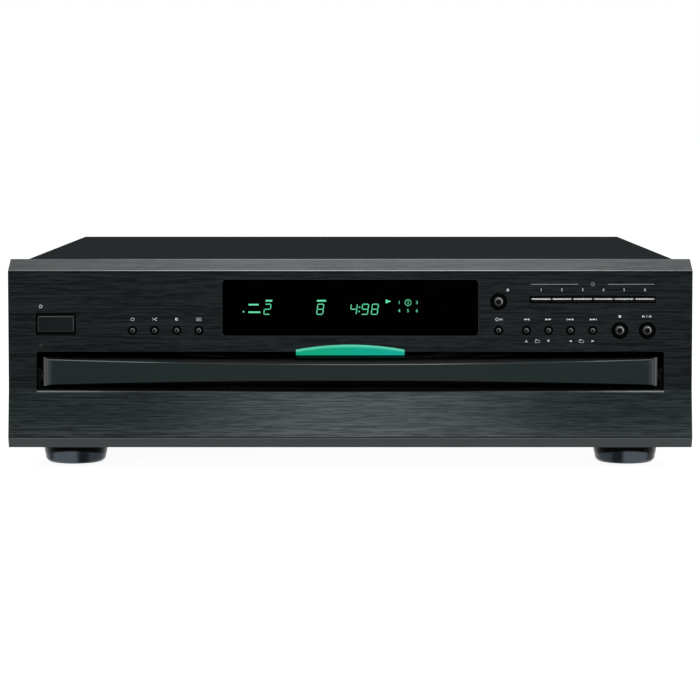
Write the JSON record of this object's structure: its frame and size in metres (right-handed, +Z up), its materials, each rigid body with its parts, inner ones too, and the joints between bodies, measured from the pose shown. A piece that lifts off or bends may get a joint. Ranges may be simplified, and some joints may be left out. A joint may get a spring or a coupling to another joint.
{
  "type": "cd changer",
  "caption": "Black full-width disc changer: a front drawer slides out with a turning disc carousel, under a dark display window and push buttons, on round feet.",
  "frame": {"origin": "middle of the outer box's footprint, on the surface that the feet stand on", "axes": "+X to the right seen from the front, +Y from the front to the back, +Z up"},
  "size_m": [0.435, 0.431, 0.1335],
  "materials": {
    "brushed_black": "black anodised, fine horizontal brushed grain",
    "moulded_black": "satin black moulded plastic",
    "window_black": "smoked gloss window",
    "lens_green": "green translucent light guide",
    "board_green": "printed circuit board",
    "cover_black": "satin black paint on sheet steel",
    "chassis_steel": "bare zinc-plated sheet steel",
    "plate_steel": "bare sheet steel",
    "foot_black": "gloss black moulded foot",
    "screw_steel": "black screw",
    "jack_black": "moulded socket with plated barrels",
    "inlet_black": "moulded mains inlet",
    "core_steel": "varnished laminations",
    "tray_black": "black moulded plastic",
    "carousel_black": "black moulded plastic",
    "motor_steel": "plated can motor",
    "gear_white": "natural acetal",
    "belt_rubber": "rubber belt",
    "bush_rubber": "soft rubber bush",
    "rod_steel": "polished steel rod",
    "frame_grey": "dark grey moulded plastic",
    "button_black": "gloss black button cap"
  },
  "bodies": {
    "root": {"front_fascia": "brushed_black", "front_base": "moulded_black", "display_window": "window_black", "slot_lens": "lens_green", "control_board": "board_green", "top_cover": "cover_black", "bottom_chassis": "chassis_steel", "rear_panel": "cover_black", "feet": "foot_black", "case_screws": "screw_steel", "rear_jacks": "jack_black", "ac_inlet": "inlet_black", "main_board": "board_green", "transformer": "core_steel", "drive_belt": "belt_rubber", "loading_motors": "motor_steel", "loader_frame": "frame_grey", "clamp_bridge": "plate_steel"},
    "drawer": {"disc_drawer": "tray_black", "drawer_front": "moulded_black", "carousel_motor": "motor_steel"},
    "turning_carousel": {"carousel": "carousel_black", "carousel_plate": "carousel_black"},
    "idler": {"carousel_idler": "gear_white"},
    "motor_wheel": {"carousel_pinion": "gear_white"},
    "drive_wheel": {"rack_gear": "gear_white"},
    "driven_pulley": {"belt_pulley": "gear_white"},
    "driving_pulley": {"motor_pulley": "gear_white"},
    "lift": {"lift_frame": "frame_grey", "pickup_chassis": "plate_steel", "damper_bushes": "bush_rubber", "spindle_motor": "motor_steel", "guide_rods": "rod_steel", "sled_motor": "motor_steel"},
    "spindle": {"disc_turntable": "frame_grey"},
    "sled": {"pickup_sled": "tray_black"},
    "screw": {"sled_screw": "rod_steel"},
    "cam": {"cam_slide": "gear_white"},
    "lift_wheel": {"lift_gear": "gear_white"},
    "lift_motor_wheel": {"lift_pinion": "gear_white"},
    "clamper": {"disc_clamper": "gear_white"},
    "standby_button": {"standby_button": "button_black"},
    "repeat_button": {"repeat_button": "button_black"},
    "random_button": {"random_button": "button_black"},
    "dimmer_button": {"dimmer_button": "button_black"},
    "display_button": {"display_button": "button_black"},
    "disc_skip_button": {"disc_skip_button": "button_black"},
    "search_back_button": {"search_back_button": "button_black"},
    "search_on_button": {"search_on_button": "button_black"},
    "track_back_button": {"track_back_button": "button_black"},
    "track_on_button": {"track_on_button": "button_black"},
    "eject_button": {"eject_button": "button_black"},
    "stop_button": {"stop_button": "button_black"},
    "play_button": {"play_button": "button_black"},
    "select_1_button": {"select_1_button": "button_black"},
    "select_2_button": {"select_2_button": "button_black"},
    "select_3_button": {"select_3_button": "button_black"},
    "select_4_button": {"select_4_button": "button_black"},
    "select_5_button": {"select_5_button": "button_black"},
    "select_6_button": {"select_6_button": "button_black"}
  },
  "joints": [
    {"name": "drawer_slide", "type": "slide", "parent": "root", "child": "drawer", "axis": [0, -1, 0], "range_m": [0, 0.25]},
    {"name": "carousel_turn", "type": "hinge", "parent": "drawer", "child": "turning_carousel", "pos_m": [0, -0.013, 0.0614], "axis": [0, 0, 1], "continuous": true},
    {"name": "idler_turn", "type": "hinge", "parent": "drawer", "child": "idler", "pos_m": [0.08683, 0.0478, 0.0578], "axis": [0, 0, 1], "continuous": true},
    {"name": "motor_wheel_turn", "type": "hinge", "parent": "drawer", "child": "motor_wheel", "pos_m": [0.09434, 0.07581, 0.0534], "axis": [0, 0, 1], "continuous": true},
    {"name": "drive_wheel_turn", "type": "hinge", "parent": "root", "child": "drive_wheel", "pos_m": [-0.086, -0.165, 0.0479], "axis": [0, 0, 1], "continuous": true},
    {"name": "driven_pulley_turn", "type": "hinge", "parent": "root", "child": "driven_pulley", "pos_m": [-0.059, -0.165, 0.0476], "axis": [0, 0, 1], "continuous": true},
    {"name": "driving_pulley_turn", "type": "hinge", "parent": "root", "child": "driving_pulley", "pos_m": [-0.019, -0.165, 0.0436], "axis": [0, 0, 1], "continuous": true},
    {"name": "lift_tilt", "type": "hinge", "parent": "root", "child": "lift", "pos_m": [0, 0.017, 0.0458], "axis": [1, 0, 0], "range_deg": [0, 7]},
    {"name": "spindle_turn", "type": "hinge", "parent": "lift", "child": "spindle", "pos_m": [0, 0.11405, 0.05665], "axis": [0, 0.1219, 0.9925], "continuous": true},
    {"name": "sled_slide", "type": "slide", "parent": "lift", "child": "sled", "axis": [0, 0.9925, -0.1219], "range_m": [0, 0.034]},
    {"name": "screw_turn", "type": "hinge", "parent": "lift", "child": "screw", "pos_m": [0.036, 0.11115, 0.03303], "axis": [0, 0.9925, -0.1219], "continuous": true},
    {"name": "cam_move", "type": "slide", "parent": "root", "child": "cam", "axis": [1, 0, 0], "range_m": [0, 0.0361]},
    {"name": "lift_wheel_turn", "type": "hinge", "parent": "root", "child": "lift_wheel", "pos_m": [-0.098, 0.1898, 0.0421], "axis": [0, 1, 0], "continuous": true},
    {"name": "lift_motor_wheel_turn", "type": "hinge", "parent": "root", "child": "lift_motor_wheel", "pos_m": [-0.098, 0.1898, 0.0641], "axis": [0, 1, 0], "continuous": true},
    {"name": "clamper_turn", "type": "hinge", "parent": "root", "child": "clamper", "pos_m": [0, 0.112, 0.0773], "axis": [0, 0, 1], "continuous": true},
    {"name": "standby_press", "type": "slide", "parent": "root", "child": "standby_button", "axis": [0, 1, 0], "range_m": [0, 0.0008], "stiffness_N_per_m": 900},
    {"name": "repeat_press", "type": "slide", "parent": "root", "child": "repeat_button", "axis": [0, 1, 0], "range_m": [0, 0.0008], "stiffness_N_per_m": 900},
    {"name": "random_press", "type": "slide", "parent": "root", "child": "random_button", "axis": [0, 1, 0], "range_m": [0, 0.0008], "stiffness_N_per_m": 900},
    {"name": "dimmer_press", "type": "slide", "parent": "root", "child": "dimmer_button", "axis": [0, 1, 0], "range_m": [0, 0.0008], "stiffness_N_per_m": 900},
    {"name": "display_press", "type": "slide", "parent": "root", "child": "display_button", "axis": [0, 1, 0], "range_m": [0, 0.0008], "stiffness_N_per_m": 900},
    {"name": "disc_skip_press", "type": "slide", "parent": "root", "child": "disc_skip_button", "axis": [0, 1, 0], "range_m": [0, 0.0008], "stiffness_N_per_m": 900},
    {"name": "search_back_press", "type": "slide", "parent": "root", "child": "search_back_button", "axis": [0, 1, 0], "range_m": [0, 0.0008], "stiffness_N_per_m": 900},
    {"name": "search_on_press", "type": "slide", "parent": "root", "child": "search_on_button", "axis": [0, 1, 0], "range_m": [0, 0.0008], "stiffness_N_per_m": 900},
    {"name": "track_back_press", "type": "slide", "parent": "root", "child": "track_back_button", "axis": [0, 1, 0], "range_m": [0, 0.0008], "stiffness_N_per_m": 900},
    {"name": "track_on_press", "type": "slide", "parent": "root", "child": "track_on_button", "axis": [0, 1, 0], "range_m": [0, 0.0008], "stiffness_N_per_m": 900},
    {"name": "eject_press", "type": "slide", "parent": "root", "child": "eject_button", "axis": [0, 1, 0], "range_m": [0, 0.0008], "stiffness_N_per_m": 900},
    {"name": "stop_press", "type": "slide", "parent": "root", "child": "stop_button", "axis": [0, 1, 0], "range_m": [0, 0.0008], "stiffness_N_per_m": 900},
    {"name": "play_press", "type": "slide", "parent": "root", "child": "play_button", "axis": [0, 1, 0], "range_m": [0, 0.0008], "stiffness_N_per_m": 900},
    {"name": "select_1_press", "type": "slide", "parent": "root", "child": "select_1_button", "axis": [0, 1, 0], "range_m": [0, 0.0008], "stiffness_N_per_m": 900},
    {"name": "select_2_press", "type": "slide", "parent": "root", "child": "select_2_button", "axis": [0, 1, 0], "range_m": [0, 0.0008], "stiffness_N_per_m": 900},
    {"name": "select_3_press", "type": "slide", "parent": "root", "child": "select_3_button", "axis": [0, 1, 0], "range_m": [0, 0.0008], "stiffness_N_per_m": 900},
    {"name": "select_4_press", "type": "slide", "parent": "root", "child": "select_4_button", "axis": [0, 1, 0], "range_m": [0, 0.0008], "stiffness_N_per_m": 900},
    {"name": "select_5_press", "type": "slide", "parent": "root", "child": "select_5_button", "axis": [0, 1, 0], "range_m": [0, 0.0008], "stiffness_N_per_m": 900},
    {"name": "select_6_press", "type": "slide", "parent": "root", "child": "select_6_button", "axis": [0, 1, 0], "range_m": [0, 0.0008], "stiffness_N_per_m": 900}
  ],
  "couplings": [
    {"joint": "idler_turn", "follows": "carousel_turn", "ratio": -9.6},
    {"joint": "motor_wheel_turn", "follows": "carousel_turn", "ratio": 46.08},
    {"joint": "drive_wheel_turn", "follows": "drawer_slide", "rad_per_m": 100},
    {"joint": "driven_pulley_turn", "follows": "drawer_slide", "rad_per_m": -440},
    {"joint": "driving_pulley_turn", "follows": "drawer_slide", "rad_per_m": -1469.8},
    {"joint": "screw_turn", "follows": "sled_slide", "rad_per_m": 3141.6},
    {"joint": "cam_move", "follows": "lift_tilt", "m_per_rad": 0.29466},
    {"joint": "lift_wheel_turn", "follows": "lift_tilt", "ratio": -42.095},
    {"joint": "lift_motor_wheel_turn", "follows": "lift_tilt", "ratio": 143.12}
  ]
}
